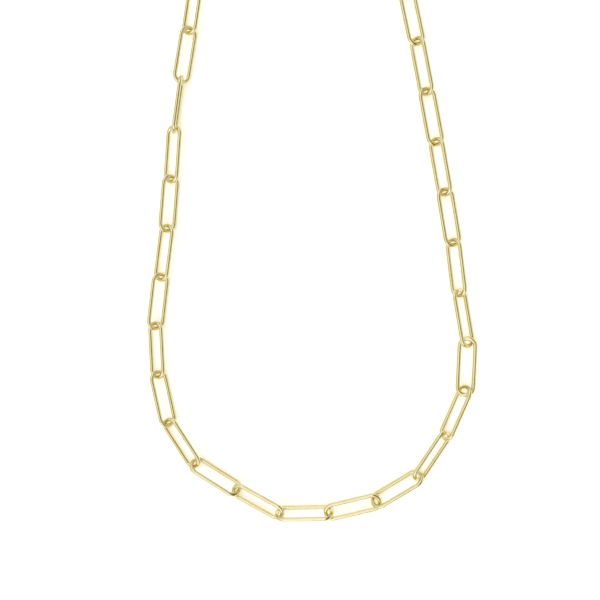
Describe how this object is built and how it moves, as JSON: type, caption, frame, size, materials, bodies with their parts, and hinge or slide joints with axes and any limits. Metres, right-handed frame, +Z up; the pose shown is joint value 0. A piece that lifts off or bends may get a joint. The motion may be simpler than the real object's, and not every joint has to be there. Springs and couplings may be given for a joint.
{
  "type": "paperclip chain necklace",
  "caption": "Necklace of long, plain oval wire links in pale polished gold, closed by a jump ring and a lobster clasp, lying flat as a closed loop.",
  "frame": {"origin": "centre of the bounding box in plan, on the surface that the chain lies on", "axes": "+X across the loop, to the wearer's left strand seen from above at -X and the right one at +X, +Y along the loop toward the clasp, +Z up"},
  "size_m": [0.0786, 0.1924, 0.0048],
  "materials": {
    "gold": "polished pale yellow gold plating"
  },
  "bodies": {
    "root": {"link_01": "gold", "link_02": "gold", "link_03": "gold", "link_04": "gold", "link_05": "gold", "link_06": "gold", "link_07": "gold", "link_08": "gold", "link_09": "gold", "link_10": "gold", "link_11": "gold", "link_12": "gold", "link_13": "gold", "link_14": "gold", "link_15": "gold", "link_16": "gold", "link_17": "gold", "link_18": "gold", "link_19": "gold", "link_20": "gold", "link_21": "gold", "link_22": "gold", "link_23": "gold", "link_24": "gold", "link_25": "gold", "link_26": "gold", "link_27": "gold", "link_28": "gold", "link_29": "gold", "link_30": "gold", "link_31": "gold", "link_32": "gold", "link_33": "gold", "link_34": "gold", "link_35": "gold", "link_36": "gold", "link_37": "gold", "jump_ring": "gold", "clasp": "gold"}
  },
  "joints": []
}
